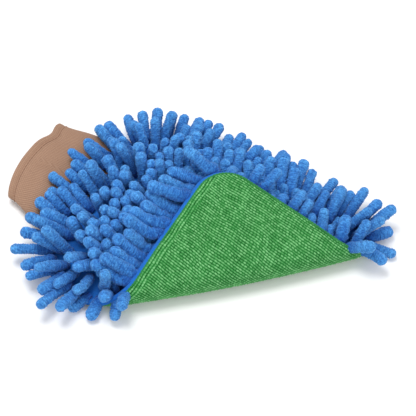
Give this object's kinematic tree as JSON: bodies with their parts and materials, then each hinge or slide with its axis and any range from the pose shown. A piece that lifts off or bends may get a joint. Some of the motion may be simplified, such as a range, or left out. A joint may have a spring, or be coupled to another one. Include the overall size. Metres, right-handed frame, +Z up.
{
  "type": "wash mitt",
  "caption": "Car wash mitt with a chenille palm, a ribbed terry back and a knitted wrist cuff, lying on its back with one fingertip corner folded over.",
  "frame": {"origin": "middle of the body's underside, on the surface it rests on", "axes": "+X from the cuff to the fingertips, +Y across the mitt away from the folded corner, +Z up from the terry back through the pile"},
  "size_m": [0.2787, 0.2031, 0.0484],
  "materials": {
    "chenille": "plush microfibre chenille, fine rings across each noodle, soft sheen",
    "terry": "looped microfibre terry with fine diagonal ribs",
    "base_cloth": "flat brushed microfibre knit",
    "lining": "smooth woven lining",
    "rib_knit": "fine rib knit, doubled",
    "cuff_thread": "polyester sewing thread",
    "seam_tape": "overlocked cloth edge",
    "pile_thread": "polyester sewing thread"
  },
  "bodies": {
    "mitt": {"back_cloth": "terry", "back_lining": "lining", "palm_lining": "lining", "palm_base_cloth": "base_cloth", "edge_seam": "seam_tape", "row_stitching": "pile_thread", "cuff": "rib_knit", "cuff_joint_seam": "cuff_thread", "cuff_hem_stitching": "cuff_thread", "cuff_side_seam": "cuff_thread", "chenille_row_01": "chenille", "chenille_row_02": "chenille", "chenille_row_03": "chenille", "chenille_row_04": "chenille", "chenille_row_05": "chenille", "chenille_row_06": "chenille", "chenille_row_07": "chenille", "chenille_row_08": "chenille", "chenille_row_09": "chenille", "chenille_row_10": "chenille", "chenille_row_11": "chenille", "chenille_row_12": "chenille", "chenille_row_13": "chenille", "chenille_row_14": "chenille", "chenille_row_15": "chenille", "chenille_row_16": "chenille", "chenille_row_17": "chenille", "chenille_row_18": "chenille"},
    "fold_wall": {"fold_back_cloth": "terry", "fold_back_lining": "lining", "fold_palm_lining": "lining", "fold_base_cloth": "base_cloth", "fold_edge_seam": "seam_tape", "fold_chenille_row": "chenille"},
    "corner": {"corner_back_cloth": "terry", "corner_back_lining": "lining", "corner_palm_lining": "lining", "corner_base_cloth": "base_cloth", "corner_edge_seam": "seam_tape", "corner_row_stitching": "pile_thread", "corner_chenille_row_14": "chenille", "corner_chenille_row_15": "chenille", "corner_chenille_row_16": "chenille", "corner_chenille_row_17": "chenille", "corner_chenille_row_18": "chenille", "corner_chenille_row_19": "chenille", "corner_chenille_row_20": "chenille"}
  },
  "joints": [
    {"name": "fold_lower", "type": "hinge", "parent": "mitt", "child": "fold_wall", "pos_m": [-0.043, -0.085, 0.0015], "axis": [0.7152, 0.699, 0], "range_deg": [0, 80]},
    {"name": "fold_upper", "type": "hinge", "parent": "fold_wall", "child": "corner", "pos_m": [-0.04069, -0.08736, 0.02021], "axis": [0.7152, 0.699, 0], "range_deg": [0, 80]}
  ],
  "couplings": [
    {"joint": "fold_upper", "follows": "fold_lower", "ratio": 1}
  ]
}
